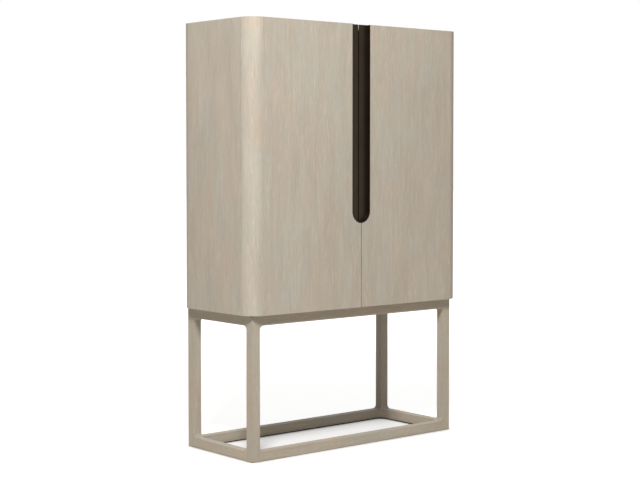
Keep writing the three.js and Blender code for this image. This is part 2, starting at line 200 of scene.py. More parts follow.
floor_mesh = bpy.data.meshes.new("studio_floor")
floor_half = FLOOR_SIZE / 2
floor_mesh.from_pydata(
    [(x * floor_half, y * floor_half, 0.0) for x, y in ((-1, -1), (1, -1), (1, 1), (-1, 1))],
    [],
    [(0, 1, 2, 3)],
)
floor = put_in_scene("studio_floor", floor_mesh)
floor_paint = bpy.data.materials.new("studio_floor_paint")
floor_paint.use_nodes = True
floor_tree = floor_paint.node_tree
floor_tree.nodes.clear()
floor_place = shader_node(floor_tree, "ShaderNodeTexCoord").outputs["Object"]

# The floor's white is a little weaker near the cabinet, and weakest under it, where a painted shadow
# of the cabinet lowers it.
from_middle = shader_node(
    floor_tree, "ShaderNodeVectorMath", {0: floor_place}, operation="LENGTH"
).outputs["Value"]
lift = shader_node(
    floor_tree,
    "ShaderNodeMapRange",
    {
        "Value": from_middle,
        "From Min": FLOOR_NEAR,
        "From Max": FLOOR_FAR,
        "To Min": FLOOR_LIFT_NEAR,
        "To Max": FLOOR_LIFT_FAR,
    },
).outputs["Result"]
either_way = shader_node(
    floor_tree, "ShaderNodeVectorMath", {0: floor_place}, operation="ABSOLUTE"
).outputs[0]
past_cabinet = shader_node(
    floor_tree,
    "ShaderNodeVectorMath",
    {0: either_way, 1: UNDER_HALF_SIZE},
    operation="SUBTRACT",
).outputs[0]
outside = shader_node(
    floor_tree, "ShaderNodeVectorMath", {0: past_cabinet, 1: (0.0, 0.0, 0.0)}, operation="MAXIMUM"
).outputs[0]
from_cabinet = shader_node(
    floor_tree, "ShaderNodeVectorMath", {0: outside}, operation="LENGTH"
).outputs["Value"]
painted_shadow_under_cabinet = shader_node(
    floor_tree,
    "ShaderNodeMapRange",
    {"Value": from_cabinet, "From Max": UNDER_FADE, "To Min": UNDER_SHADOW_SHARE, "To Max": 1.0},
    interpolation_type="SMOOTHSTEP",
).outputs["Result"]

# Painted shade: close to a rail the floor's white is weaker, and in the gap under one a dark colour
# is painted, but only inside the frame.
contact = shader_node(
    floor_tree, "ShaderNodeAmbientOcclusion", {"Distance": CONTACT_REACH}, samples=SHADE_SAMPLES
).outputs["AO"]
contact_shade = shader_node(
    floor_tree, "ShaderNodeMath", {0: contact, 1: CONTACT_CONTRAST}, operation="POWER"
).outputs[0]
gap = shader_node(
    floor_tree, "ShaderNodeAmbientOcclusion", {"Distance": GAP_REACH}, samples=SHADE_SAMPLES
).outputs["AO"]
gap_shade = shader_node(
    floor_tree,
    "ShaderNodeMapRange",
    {"Value": gap, "From Min": GAP_DARK, "From Max": GAP_CLEAR},
    interpolation_type="SMOOTHSTEP",
).outputs["Result"]
past_frame = shader_node(
    floor_tree,
    "ShaderNodeMapRange",
    {"Value": from_cabinet, "From Min": GAP_EDGE / 2, "From Max": GAP_EDGE},
).outputs["Result"]
gap_inside = greater(floor_tree, gap_shade, past_frame)

lift_seen = product(
    floor_tree, lift, painted_shadow_under_cabinet, contact_shade, gap_inside, seen_directly(floor_tree)
)
floor_white = shader_node(
    floor_tree, "ShaderNodeEmission", {"Color": FLOOR_WHITE, "Strength": lift_seen}
)
# The floor's own colour takes the painted shade in the gap under the rails.
floor_matt = shader_node(
    floor_tree,
    "ShaderNodeBsdfDiffuse",
    {"Color": blend(floor_tree, gap_inside, PAINTED_GAP_SHADE_COLOUR, FLOOR_COLOUR)},
)
floor_both = shader_node(
    floor_tree, "ShaderNodeAddShader", {0: floor_matt.outputs[0], 1: floor_white.outputs[0]}
)
shader_node(floor_tree, "ShaderNodeOutputMaterial", {"Surface": floor_both.outputs[0]})
floor_mesh.materials.append(floor_paint)

# Limed oak, the finish of the whole cabinet. Rift-cut oak veneer and solid oak are brushed, filled
# with pale wax and lacquered matt, so the grain is fine, straight and paler than the wood. The solid
# oak of the base frame is slightly darker than the veneer, and the faces inside are darker still.
OAK_COLOURS = {
    # where it is: wood, wax in the grain, late wood
    "outside": ((0.447, 0.378, 0.287), (0.657, 0.589, 0.494), (0.355, 0.288, 0.205)),
    "frame": ((0.434, 0.367, 0.274), (0.637, 0.571, 0.472), (0.344, 0.279, 0.196)),
    "inside": ((0.400, 0.333, 0.245), (0.585, 0.515, 0.410), (0.308, 0.245, 0.172)),
}
OAK_LEAST_ROUGHNESS = 0.54
OAK_ROUGHNESS_SPREAD = 0.16
OAK_SHINE = 0.28
OAK_BUMP = 0.25
OAK_BUMP_DEPTH = 0.0004
GRAIN_NOISES = {
    # what it is: number per metre across and along the grain, detail, low level, high level, wander
    "fibres": (330.0, 6.0, 4.0, 0.32, 0.68, 0.0),
    "pores": (950.0, 26.0, 1.0, 0.57, 0.66, 0.0),
    "flecks": (120.0, 14.0, 1.0, 0.64, 0.74, 0.0),
    "rings": (14.0, 1.1, 2.0, 0.35, 0.65, 0.6),
    "streaks": (32.0, 5.0, 2.0, 0.30, 0.70, 0.4),
    "stains": (17.0, 8.0, 1.0, 0.32, 0.68, 0.0),
    "patches": (7.0, 3.0, 2.0, 0.30, 0.70, 0.0),
    "clouds": (2.6, 1.3, 2.0, 0.30, 0.70, 0.0),
}
LATE_WOOD_SHARE = 0.24
LEAST_WAX_SHARE = 0.115
FIBRE_WAX_SHARE = 0.17
FLECK_WAX_SHARE = 0.28
PORE_WAX_SHARE = 0.40
STREAK_DARKEST = 0.965
STREAK_SPREAD = 0.07
CLOUD_DARKEST = 0.97
CLOUD_SPREAD = 0.06
PATCH_TINTS = ((0.980, 1.006, 1.021, 1.0), (1.022, 0.994, 0.974, 1.0))
STAIN_TINTS = ((0.984, 1.007, 1.018, 1.0), (1.016, 0.993, 0.982, 1.0))
PORE_DEPTH_SHARE = 0.6
FIBRE_HEIGHT_SHARE = 0.5
QUARTER_TURN = math.radians(90.0)
GRAIN_TURNS = {
    # way that the grain runs: turn that brings it upright
    "upright": (0.0, 0.0, 0.0),
    "across": (0.0, QUARTER_TURN, 0.0),
    "front_to_back": (QUARTER_TURN, 0.0, 0.0),
}


def noise(tree, position, scale, detail, wander=0.0):
    return shader_node(
        tree,
        "ShaderNodeTexNoise",
        {"Vector": position, "Scale": scale, "Detail": detail, "Distortion": wander},
    ).outputs[0]


def scaled(tree, value, by, plus=0.0):
    return shader_node(
        tree, "ShaderNodeMath", {0: value, 1: by, 2: plus}, operation="MULTIPLY_ADD"
    ).outputs[0]


def bump(tree, height, strength, depth):
    return shader_node(
        tree, "ShaderNodeBump", {"Height": height, "Strength": strength, "Distance": depth}
    ).outputs[0]


def new_finish(name):
    """A new material, with its nodes and the position on the piece that wears it."""
    finish = bpy.data.materials.new(name)
    finish.use_nodes = True
    tree = finish.node_tree
    return finish, tree, shader_node(tree, "ShaderNodeTexCoord").outputs["Object"]


def make_limed_oak():
    """The grain of limed oak, running along Z."""
    tree = bpy.data.node_groups.new("limed_oak_grain", "ShaderNodeTree")
    for name, kind in (
        ("Vector", "NodeSocketVector"),
        ("Wood", "NodeSocketColor"),
        ("Wax", "NodeSocketColor"),
        ("Late Wood", "NodeSocketColor"),
        ("Roughness", "NodeSocketFloat"),
    ):
        tree.interface.new_socket(name, in_out="INPUT", socket_type=kind)
    for name, kind in (
        ("Color", "NodeSocketColor"),
        ("Roughness", "NodeSocketFloat"),
        ("Height", "NodeSocketFloat"),
    ):
        tree.interface.new_socket(name, in_out="OUTPUT", socket_type=kind)
    given = shader_node(tree, "NodeGroupInput").outputs

    def lines(name):
        """Noise drawn out along the grain, spread to 0 to 1 between two levels."""
        across, along, detail, low, high, wander = GRAIN_NOISES[name]
        drawn = shader_node(
            tree,
            "ShaderNodeVectorMath",
            {0: given["Vector"], 1: (across, across, along)},
            operation="MULTIPLY",
        ).outputs[0]
        return shader_node(
            tree,
            "ShaderNodeMapRange",
            {"Value": noise(tree, drawn, 1.0, detail, wander), "From Min": low, "From Max": high},
            interpolation_type="SMOOTHSTEP",
        ).outputs["Result"]

    fibres = lines("fibres")
    pores = lines("pores")
    ring_share = scaled(tree, lines("rings"), LATE_WOOD_SHARE)
    fibre_share = scaled(tree, fibres, FIBRE_WAX_SHARE, LEAST_WAX_SHARE)
    fleck_share = scaled(tree, lines("flecks"), FLECK_WAX_SHARE)
    pore_share = scaled(tree, pores, PORE_WAX_SHARE)
    colour = blend(tree, ring_share, given["Wood"], given["Late Wood"])
    for wax_share in (fibre_share, fleck_share, pore_share):
        colour = blend(tree, wax_share, colour, given["Wax"])
    for tint in (
        scaled(tree, lines("streaks"), STREAK_SPREAD, STREAK_DARKEST),
        blend(tree, lines("stains"), *STAIN_TINTS),
        blend(tree, lines("patches"), *PATCH_TINTS),
        scaled(tree, lines("clouds"), CLOUD_SPREAD, CLOUD_DARKEST),
    ):
        colour = blend(tree, 1.0, colour, tint, "MULTIPLY")
    roughness = scaled(tree, fibres, OAK_ROUGHNESS_SPREAD, given["Roughness"])
    fibre_height = scaled(tree, fibres, FIBRE_HEIGHT_SHARE)
    height = scaled(tree, pores, -PORE_DEPTH_SHARE, fibre_height)
    shader_node(
        tree, "NodeGroupOutput", {"Color": colour, "Roughness": roughness, "Height": height}
    )
    return tree


limed_oak_grain = make_limed_oak()


def oak(grain, where="outside"):
    """Oak with its grain upright, across or front to back. Each kind is made once."""
    name = f"limed_oak_{where}_{grain}"
    if name in bpy.data.materials:
        return bpy.data.materials[name]
    finish, tree, position = new_finish(name)
    along_z = shader_node(
        tree, "ShaderNodeMapping", {"Vector": position, "Rotation": GRAIN_TURNS[grain]}
    ).outputs[0]
    wood, wax, late_wood = OAK_COLOURS[where]
    grained = shader_node(
        tree,
        "ShaderNodeGroup",
        {
            "Vector": along_z,
            "Wood": (*wood, 1.0),
            "Wax": (*wax, 1.0),
            "Late Wood": (*late_wood, 1.0),
            "Roughness": OAK_LEAST_ROUGHNESS,
        },
        node_tree=limed_oak_grain,
    ).outputs
    feed(
        tree,
        tree.nodes["Principled BSDF"],
        {
            "Base Color": grained["Color"],
            "Roughness": grained["Roughness"],
            "Specular IOR Level": OAK_SHINE,
            "Normal": bump(tree, grained["Height"], OAK_BUMP, OAK_BUMP_DEPTH),
        },
    )
    return finish


# Base frame: four legs, four foot rails and four top rails of one square oak stock, glued up and
# then rounded where they meet, so the rounding runs on from piece to piece.
FRAME_ARRIS = 0.0016
OPENING_RADIUS = 0.018
PLAN_RADIUS = 0.022
FINE_STEPS = 16
ARRIS_STEPS = 3
EASED_FROM_ANGLE = math.radians(30.0)
FRAME_SHARP_ANGLE = math.radians(40.0)
FLAT_FACE_WEIGHT = 100
# How far a cutting form runs past what it cuts.
CUT_PAST = 0.01


def arc(x, y, radius, start, end, steps=FINE_STEPS):
    """Points of an arc. Its start and end are in quarter turns."""
    points = []
    for step in range(steps + 1):
        angle = QUARTER_TURN * (start + (end - start) * step / steps)
        points.append((x + radius * math.cos(angle), y + radius * math.sin(angle)))
    return points


def rounded(low, high, radius):
    """A rectangle with round corners, from its low corner to its high one."""
    (left, bottom), (right, top) = low, high
    return [
        *arc(right - radius, bottom + radius, radius, -1, 0),
        *arc(right - radius, top - radius, radius, 0, 1),
        *arc(left + radius, top - radius, radius, 1, 2),
        *arc(left + radius, bottom + radius, radius, 2, 3),
    ]


def prism(outline, start, end, along="z"):
    """A form with this outline, from start to end along one axis."""
    order = {"x": (2, 0, 1), "y": (0, 2, 1), "z": (0, 1, 2)}[along]
    made = bmesh.new()
    ends = []
    for level in (start, end):
        ring = []
        for first, second in outline:
            numbers = (first, second, level)
            ring.append(made.verts.new([numbers[i] for i in order]))
        ends.append(ring)
    for ring in ends:
        made.faces.new(ring)
    for index in range(len(outline)):
        after = (index + 1) % len(outline)
        made.faces.new((ends[0][index], ends[0][after], ends[1][after], ends[1][index]))
    bmesh.ops.recalc_face_normals(made, faces=made.faces)
    return made


def block(low, high):
    """A square form from its low corner to its high one."""
    corners = [(low[0], low[1]), (high[0], low[1]), (high[0], high[1]), (low[0], high[1])]
    return prism(corners, low[2], high[2])


def piece(name, form):
    """An object from a form, which is used up."""
    mesh = bpy.data.meshes.new(name)
    form.to_mesh(mesh)
    form.free()
    return put_in_scene(name, mesh)


def keep_shape(made):
    """Makes what the modifiers give the piece's own mesh."""
    bpy.context.view_layer.update()
    shaped = made.evaluated_get(bpy.context.evaluated_depsgraph_get())
    mesh = bpy.data.meshes.new_from_object(shaped)
    mesh.name = made.name
    made.modifiers.clear()
    made.data = mesh


def cut(made, *tools, how="DIFFERENCE"):
    """Cuts forms out of a piece, or joins them to it."""
    cutters = [piece("cutter", tool) for tool in tools]
    for cutter in cutters:
        step = made.modifiers.new("cut", "BOOLEAN")
        step.operation = how
        step.solver = "MANIFOLD"
        step.object = cutter
    keep_shape(made)
    for cutter in cutters:
        bpy.data.objects.remove(cutter)


def ease_edges(made, radius, steps=ARRIS_STEPS):
    """Rounds the sharp edges by a bevel."""
    edge = made.modifiers.new("eased_edges", "BEVEL")
    edge.width = radius
    edge.segments = steps
    edge.limit_method = "ANGLE"
    edge.angle_limit = EASED_FROM_ANGLE
    edge.miter_outer = "MITER_ARC"


def shade(made):
    """Smooth shading that leaves flat faces flat."""
    made.data.shade_smooth()
    flat = made.modifiers.new("flat_faces", "WEIGHTED_NORMAL")
    flat.weight = FLAT_FACE_WEIGHT
    flat.keep_sharp = True


def finish_piece(made, body, slot, material, *nodes):
    """The last steps for a new piece: its finish, the body it rides on and the nodes it stands for."""
    made.data.materials.clear()
    made.data.materials.append(material)
    shade(made)
    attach(made, body)
    if nodes:
        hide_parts(*nodes)


leg_low, leg_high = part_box("leg_front_left")
far_low, far_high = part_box("leg_rear_right")
frame_left, frame_front, frame_low = leg_low
frame_right, frame_back, frame_top = far_high
open_left, open_front = leg_high[0], leg_high[1]
open_right, open_back = far_low[0], far_low[1]
stock = open_left - frame_left
open_low = frame_low + stock
open_top = frame_top - stock
frame_middle = (frame_low + frame_top) / 2

base = piece("base_blank", block(leg_low, far_high))
cut(
    base,
    prism(
        rounded((open_left, open_low), (open_right, open_top), OPENING_RADIUS),
        frame_front - CUT_PAST,
        frame_back + CUT_PAST,
        "y",
    ),
    prism(
        rounded((open_front, open_low), (open_back, open_top), OPENING_RADIUS),
        frame_left - CUT_PAST,
        frame_right + CUT_PAST,
        "x",
    ),
    prism(
        rounded((open_left, open_front), (open_right, open_back), PLAN_RADIUS),
        frame_low - CUT_PAST,
        frame_middle,
    ),
    block((open_left, open_front, frame_middle), (open_right, open_back, frame_top + CUT_PAST)),
)
ease_edges(base, FRAME_ARRIS)
keep_shape(base)


def frame_member(name, low, high, grain, cad_node):
    """The part of the shaped frame that lies between two corners."""
    made = put_in_scene(name, base.data.copy())
    cut(made, block(low, high), how="INTERSECT")
    made.data.set_sharp_from_angle(angle=FRAME_SHARP_ANGLE)
    finish_piece(made, "carcass", "oak_outside", oak(grain, "frame"), cad_node)


frame_ends = (frame_left - CUT_PAST, frame_right + CUT_PAST)
frame_levels = (
    ("foot", frame_low - CUT_PAST, frame_middle),
    ("top", frame_middle, frame_top + CUT_PAST),
)
for row, near, far in (
    ("front", frame_front - CUT_PAST, open_front),
    ("rear", open_back, frame_back + CUT_PAST),
):
    for place, left, right in (
        ("left", frame_ends[0], open_left),
        ("right", open_right, frame_ends[1]),
    ):
        frame_member(
            f"{row}_{place}_leg",
            (left, near, frame_low - CUT_PAST),
            (right, far, frame_top + CUT_PAST),
            "upright",
            f"leg_{row}_{place}",
        )
    for level, low, high in frame_levels:
        frame_member(
            f"{row}_{level}_rail",
            (open_left, near, low),
            (open_right, far, high),
            "across",
            f"{level}_rail_{row}",
        )
for place, left, right in (("left", frame_ends[0], 0.0), ("right", 0.0, frame_ends[1])):
    for level, low, high in frame_levels:
        frame_member(
            f"{place}_{level}_rail",
            (left, open_front, low),
            (right, open_back, high),
            "front_to_back",
            f"{level}_rail_{place}",
        )
bpy.data.objects.remove(base)

# Glides and spacer. A black plastic disc is screwed under each leg, 2 mm thick. The spacer board
# between the frame and the box is smaller than both and painted near black, for a shadow line.
GLIDE_CHAMFER = 0.0005
GLIDE_RECESS_RADIUS = 0.0055
SPACER_ARRIS = 0.0005
KEPT_ARRIS_STEPS = 2
ROUND_STEPS = 48
WELD_REACH = 0.00001
BLACK_PLASTIC_COLOUR = (0.020, 0.020, 0.021)
BLACK_PLASTIC_ROUGHNESS = 0.55
DARK_PAINT_AND_SEAM_SHADE_COLOUR = (0.022, 0.019, 0.016)
DARK_PAINT_ROUGHNESS = 0.70
PAINT_SPREAD = 0.15
PAINT_SPECKLES = 900.0
SPECKLE_DETAIL = 3.0
SPECKLE_CLOUDS = 14.0
SPECKLE_CLOUD_DETAIL = 2.0
SPECKLE_BUMP = 0.1
SPECKLE_BUMP_DEPTH = 0.0002
LIGHTER_TIMES = 3.0


def circle(x, y, radius, steps):
    """Points of a whole circle."""
    return arc(x, y, radius, 0, 4, steps)[:-1]


def turned(profile, place=(0.0, 0.0, 0.0), steps=ROUND_STEPS):
    """A turned form. The profile is radius and height, and starts and ends on the axis."""
    made = bmesh.new()
    rings = []
    for radius, height in profile:
        if radius == 0:
            rings.append([made.verts.new((place[0], place[1], place[2] + height))])
            continue
        ring = []
        for x, y in circle(place[0], place[1], radius, steps):
            ring.append(made.verts.new((x, y, place[2] + height)))
        rings.append(ring)
    for inner, outer in zip(rings, rings[1:]):
        for index in range(steps):
            after = (index + 1) % steps
            corners = [
                inner[index % len(inner)],
                inner[after % len(inner)],
                outer[after % len(outer)],
                outer[index % len(outer)],
            ]
            made.faces.new(list(dict.fromkeys(corners)))
    bmesh.ops.recalc_face_normals(made, faces=made.faces)
    return made


def speckled(name, colour, roughness, spread=PAINT_SPREAD, speckles=PAINT_SPECKLES, metal=0.0):
    """A plain finish whose colour and shine vary a little, as moulded or painted surfaces do."""
    finish, tree, position = new_finish(name)
    fine = noise(tree, position, speckles, SPECKLE_DETAIL)
    broad = noise(tree, position, SPECKLE_CLOUDS, SPECKLE_CLOUD_DETAIL)
    share = product(tree, fine, broad)
    dark = [channel * (1.0 - spread) for channel in colour]
    light = [min(1.0, channel * (1.0 + LIGHTER_TIMES * spread)) for channel in colour]
    feed(
        tree,
        tree.nodes["Principled BSDF"],
        {
            "Base Color": blend(tree, share, (*dark, 1.0), (*light, 1.0)),
            "Metallic": metal,
            "Roughness": scaled(tree, share, spread, roughness),
            "Normal": bump(tree, fine, SPECKLE_BUMP, SPECKLE_BUMP_DEPTH),
        },
    )
    return finish


def keep_node(name, material, radius):
    """A node that stays as it is, with its edges eased and its own finish."""
    kept = node[name]
    kept.data.materials.clear()
    kept.data.materials.append(material)
    weld = kept.modifiers.new("weld", "WELD")
    weld.merge_threshold = WELD_REACH
    ease_edges(kept, radius, KEPT_ARRIS_STEPS)
    shade(kept)


black_plastic = speckled("black_plastic", BLACK_PLASTIC_COLOUR, BLACK_PLASTIC_ROUGHNESS)
# The dark paint is the spacer board's finish. On the doors' meeting edges it is painted shade in the
# seam.
dark_paint_and_seam_shade = speckled("dark_paint_and_seam_shade", DARK_PAINT_AND_SEAM_SHADE_COLOUR, DARK_PAINT_ROUGHNESS)

for row in ("front", "rear"):
    for place in ("left", "right"):
        low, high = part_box(f"glide_{row}_{place}")
        radius = (high[0] - low[0]) / 2
        thickness = high[2] - low[2]
        profile = [
            (0.0, thickness / 2),
            (GLIDE_RECESS_RADIUS - GLIDE_CHAMFER, thickness / 2),
            (GLIDE_RECESS_RADIUS, 0.0),
            (radius - GLIDE_CHAMFER, 0.0),
            (radius, GLIDE_CHAMFER),
            (radius, thickness),
            (0.0, thickness),
        ]
        middle = ((low[0] + high[0]) / 2, (low[1] + high[1]) / 2, low[2])
        glide = piece(f"{row}_{place}_glide", turned(profile, middle))
        finish_piece(glide, "carcass", "glide_plastic", black_plastic, f"glide_{row}_{place}")
keep_node("spacer_board", dark_paint_and_seam_shade, SPACER_ARRIS)

# Carcass. Two oak-veneered sides whose back edges are bent round to meet a flat back, and top,
# bottom and middle boards between them. The bent corners are laminated over a former.
CORNER_STEPS = 32
FIT = 0.0003
PANEL_ARRIS = 0.0009
BOARD_ARRIS = 0.0007
# Keeps the two arcs of a round end from sharing a point.
ROUND_END_TRIM = 0.000001
SIDES = (("left", -1), ("right", 1))
HINGE_NUMBERS = (1, 2, 3)

side_low, side_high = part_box("side_right")
bottom_low, bottom_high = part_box("bottom_panel")
panel = bottom_high[2] - bottom_low[2]
outer_x = side_high[0]
inner_x = outer_x - panel
corner_x = side_low[0]
corner_radius = outer_x - corner_x
seam_y = side_low[1]
back_corner_y = side_high[1] - corner_radius
box_low = side_low[2]
box_top = side_high[2]


def on_side(outline, side):
    """The outline of the right side's piece, or its mirror image for the left one."""
    if side > 0:
        return outline
    return [(-x, y) for x, y in reversed(outline)]


def grown(name, by):
    """A node's box made larger all round, as low and high corners."""
    low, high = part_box(name)
    margin = Vector((by, by, by))
    return low - margin, high + margin


def round_ended(low, high):
    """An upright outline with half-round ends, seen from the front, that fills a box."""
    radius = (high[0] - low[0]) / 2 - ROUND_END_TRIM
    return rounded((low[0], low[2]), (high[0], high[2]), radius)


def mortise(hinge_node):
    """The outline, front and back of the pocket that a hinge half sits in."""
    low, high = grown(hinge_node, FIT)
    return round_ended(low, high), low[1], high[1]


for place, side in SIDES:
    outline = [
        (inner_x, seam_y),
        (outer_x, seam_y),
        *arc(corner_x, back_corner_y, corner_radius, 0, 1, CORNER_STEPS),
        *arc(corner_x, back_corner_y, corner_radius - panel, 1, 0, CORNER_STEPS),
    ]
    board = piece(f"{place}_side_board", prism(on_side(outline, side), box_low, box_top))
    tools = []
    for number in HINGE_NUMBERS:
        shape, near, far = mortise(f"hinge_{place}_{number}_side_half")
        tools.append(prism(shape, near - CUT_PAST, far, "y"))
    if side > 0:
        glass_groove = block(*grown("glass_shelf", FIT))
        tools.append(glass_groove)
    cut(board, *tools)
    ease_edges(board, PANEL_ARRIS)
    finish_piece(board, "carcass", "oak_outside", oak("upright"), f"side_{place}")

back_board = piece("back_board", block(*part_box("back_panel")))
ease_edges(back_board, PANEL_ARRIS)
finish_piece(back_board, "carcass", "oak_outside", oak("upright"), "back_panel")
keep_node("top_panel", oak("across"), BOARD_ARRIS)
keep_node("bottom_panel", oak("across", "inside"), BOARD_ARRIS)
keep_node("partition", oak("upright", "inside"), BOARD_ARRIS)

# Doors. Each is one veneered board whose outer edge is bent round the front corner, so its seam is
# on the side of the box. A long slot with a round end is cut out where the doors meet, and their
# meeting edges get the dark paint as painted shade, which darkens the seam between the doors.
DOOR_ARRIS = 0.0006
SLOT_STEPS = 48
FACING_SHARE = 0.9

door_front_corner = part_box("door_right")[0]
pull_low, pull_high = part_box("pull_right")
door_edge = door_front_corner[0]
door_front = door_front_corner[1]
door_back = pull_high[1]
door_thickness = door_back - door_front
reveal = 2 * door_edge
slot_half = pull_high[0] + FIT
slot_centre = pull_low[2] - FIT + slot_half


def door_arc(radius):
    """The bend of a door, which stops short of the side by the reveal."""
    last = -math.asin(reveal / radius) / QUARTER_TURN
    return arc(corner_x, seam_y, radius, -1, last, CORNER_STEPS)


def slot_outline(half, top):
    """The finger slot, seen from the front, with this half width."""
    return [*arc(0.0, slot_centre, half, -2, 0, SLOT_STEPS), (half, top), (-half, top)]


def finish_edges(made, ends, meeting):
    """Gives a door's top and bottom their own finish, and the edge that meets the other door painted
    shade.
    """
    made.data.materials.append(ends)
    made.data.materials.append(meeting)
    for face in made.data.polygons:
        if abs(face.normal.z) > FACING_SHARE:
            face.material_index = 1
        elif abs(face.normal.x) > FACING_SHARE and abs(face.center.x) < reveal:
            face.material_index = 2


for place, side in SIDES:
    outline = [
        (door_edge, door_front),
        *door_arc(corner_radius),
        *reversed(door_arc(corner_radius - door_thickness)),
        (door_edge, door_back),
    ]
    door = piece(f"{place}_door_board", prism(on_side(outline, side), box_low, box_top))
    slot_shape = slot_outline(slot_half, box_top + CUT_PAST)
    tools = [prism(slot_shape, door_front - CUT_PAST, door_back + CUT_PAST, "y")]
    for number in HINGE_NUMBERS:
        shape, near, far = mortise(f"hinge_{place}_{number}_door_half")
        tools.append(prism(shape, near, far + CUT_PAST, "y"))
    cut(door, *tools)
    ease_edges(door, DOOR_ARRIS)
    finish_piece(door, f"{place}_door", "oak_outside", oak("upright"), f"door_{place}")
    # The meeting edges get the dark paint as painted shade, so the seam between the doors reads dark.
    finish_edges(door, oak("across"), dark_paint_and_seam_shade)

# Finger slot lining. For each door bronze sheet, 3 mm thick, is bent to half the slot's outline, and
# a thinner floor is brazed in and folded back along its free edge. It is browned dark. The two
# floors leave a gap between the doors. The folds keep light out of it, up to the top board.
LINING_WALL = 0.003
LINING_FLOOR = 0.002
LINING_FLOOR_DEPTH = 0.018
LINING_FLOOR_GAP = 0.005
LINING_FOLD_DEPTH = 0.006
LINING_FOLD_WALL = 0.0015
LINING_ARRIS = 0.0005
BRONZE_COLOURS = ((0.025, 0.0155, 0.0085, 1.0), (0.040, 0.0265, 0.017, 1.0))
BRONZE_METAL = 0.8
BRONZE_LEAST_ROUGHNESS = 0.34
BRONZE_ROUGHNESS_SPREAD = 0.18
BRONZE_BUMP = 0.12
BRONZE_BUMP_DEPTH = 0.0002
BRUSH_LINES = (900.0, 900.0, 9.0)
BRUSH_DETAIL = 3.0
PATINA_PATCHES = 16.0
PATINA_DETAIL = 4.0


def make_bronze():
    """Browned bronze, brushed upright."""
    finish, tree, position = new_finish("browned_bronze")
    drawn = shader_node(
        tree, "ShaderNodeVectorMath", {0: position, 1: BRUSH_LINES}, operation="MULTIPLY"
    ).outputs[0]
    brushing = noise(tree, drawn, 1.0, BRUSH_DETAIL)
    patina = noise(tree, position, PATINA_PATCHES, PATINA_DETAIL)
    feed(
        tree,
        tree.nodes["Principled BSDF"],
        {
            "Base Color": blend(tree, patina, *BRONZE_COLOURS),
            "Metallic": BRONZE_METAL,
            "Roughness": scaled(tree, brushing, BRONZE_ROUGHNESS_SPREAD, BRONZE_LEAST_ROUGHNESS),
            "Normal": bump(tree, brushing, BRONZE_BUMP, BRONZE_BUMP_DEPTH),
        },
    )
    return finish


bronze = make_bronze()
lining_half = slot_half - FIT
lining_inside = lining_half - LINING_WALL
lining_hollow = slot_outline(lining_inside, box_top + CUT_PAST)
floor_front = door_front + LINING_FLOOR_DEPTH
floor_back = floor_front + LINING_FLOOR
gap_low = slot_centre - lining_inside + LINING_FLOOR
gap_edge = LINING_FLOOR_GAP / 2
for place, side in SIDES:
    lining = piece(
        f"{place}_slot_lining",
        prism(slot_outline(lining_half, box_top), door_front, door_back, "y"),
    )
    other_half = sorted((side * door_edge, -side * slot_half))
    cut(
        lining,
        prism(lining_hollow, door_front - CUT_PAST, floor_front, "y"),
        prism(lining_hollow, floor_back, door_back + CUT_PAST, "y"),
        block(
            (-gap_edge, floor_front - CUT_PAST, gap_low),
            (gap_edge, floor_back + CUT_PAST, box_top + CUT_PAST),
        ),
        block(
            (other_half[0], door_front - CUT_PAST, box_low),
            (other_half[1], door_back + CUT_PAST, box_top + CUT_PAST),
        ),
    )
    fold = sorted((side * gap_edge, side * (gap_edge + LINING_FOLD_WALL)))
    cut(
        lining,
        block(
            (fold[0], floor_back - LINING_FLOOR / 2, gap_low),
            (fold[1], floor_back + LINING_FOLD_DEPTH, box_top - panel),
        ),
        how="UNION",
    )
    ease_edges(lining, LINING_ARRIS)
    finish_piece(lining, f"{place}_door", "bronze", bronze, f"pull_{place}")

# Concealed hinges, three to a door. Each half is a cast steel shell let into the edge of the board
# and held by two screws. Curved link arms on each half slide into the other when the door is shut.
HINGE_WALL = 0.0012
HINGE_FLOOR = 0.0015
POCKET_HALF_HEIGHT = 0.026
ARM_RADIUS = 0.0145
ARM_THICKNESS = 0.002
# The arms' root and reach are in quarter turns, and their bands are heights from the middle.
ARM_ROOT = -0.40
ARM_REACH = 0.58
OUTER_ARM_BAND = (0.008, 0.021)
INNER_ARM_BAND = (-0.007, 0.007)
HINGE_SCREW_RADIUS = 0.0030
HINGE_SCREW_SPACING = 0.0370
METAL_ARRIS = 0.0003
METAL_ARRIS_STEPS = 2
STEEL_COLOUR = (0.46, 0.46, 0.45)
STEEL_ROUGHNESS = 0.34
STEEL_SPREAD = 0.10
STEEL_SPECKLES = 1400.0
SCREW_STEPS = 24
MODEL_HEAD_RADIUS = 0.001
# Shares of the screw's radius.
HEAD_PROFILE_SHARES = ((0.0, -0.6), (0.45, -0.6), (1.0, -0.08), (1.0, 0.0), (0.0, 0.0))
SINK_PROFILE_SHARES = ((0.0, -0.75), (0.5, -0.75), (1.08, -0.08), (1.08, 1.0), (0.0, 1.0))
CROSS_REACH_SHARE = 0.55
CROSS_WIDTH_SHARE = 0.11
CROSS_DEPTH_SHARE = 0.4


def turned_shares(shares, radius):
    """A turned form whose profile is given in shares of its radius."""
    return turned([(out * radius, up * radius) for out, up in shares], steps=SCREW_STEPS)


def make_screw():
    """A small countersunk screw head, facing up, with a cross recess."""
    head = piece("screw_head", turned_shares(HEAD_PROFILE_SHARES, MODEL_HEAD_RADIUS))
    arm = CROSS_REACH_SHARE * MODEL_HEAD_RADIUS
    width = CROSS_WIDTH_SHARE * MODEL_HEAD_RADIUS
    depth = CROSS_DEPTH_SHARE * MODEL_HEAD_RADIUS
    cut(
        head,
        block((-arm, -width, -depth), (arm, width, depth)),
        block((-width, -arm, -depth), (width, arm, depth)),
    )
    mesh = head.data
    bpy.data.objects.remove(head)
    return mesh


screw_head = make_screw()


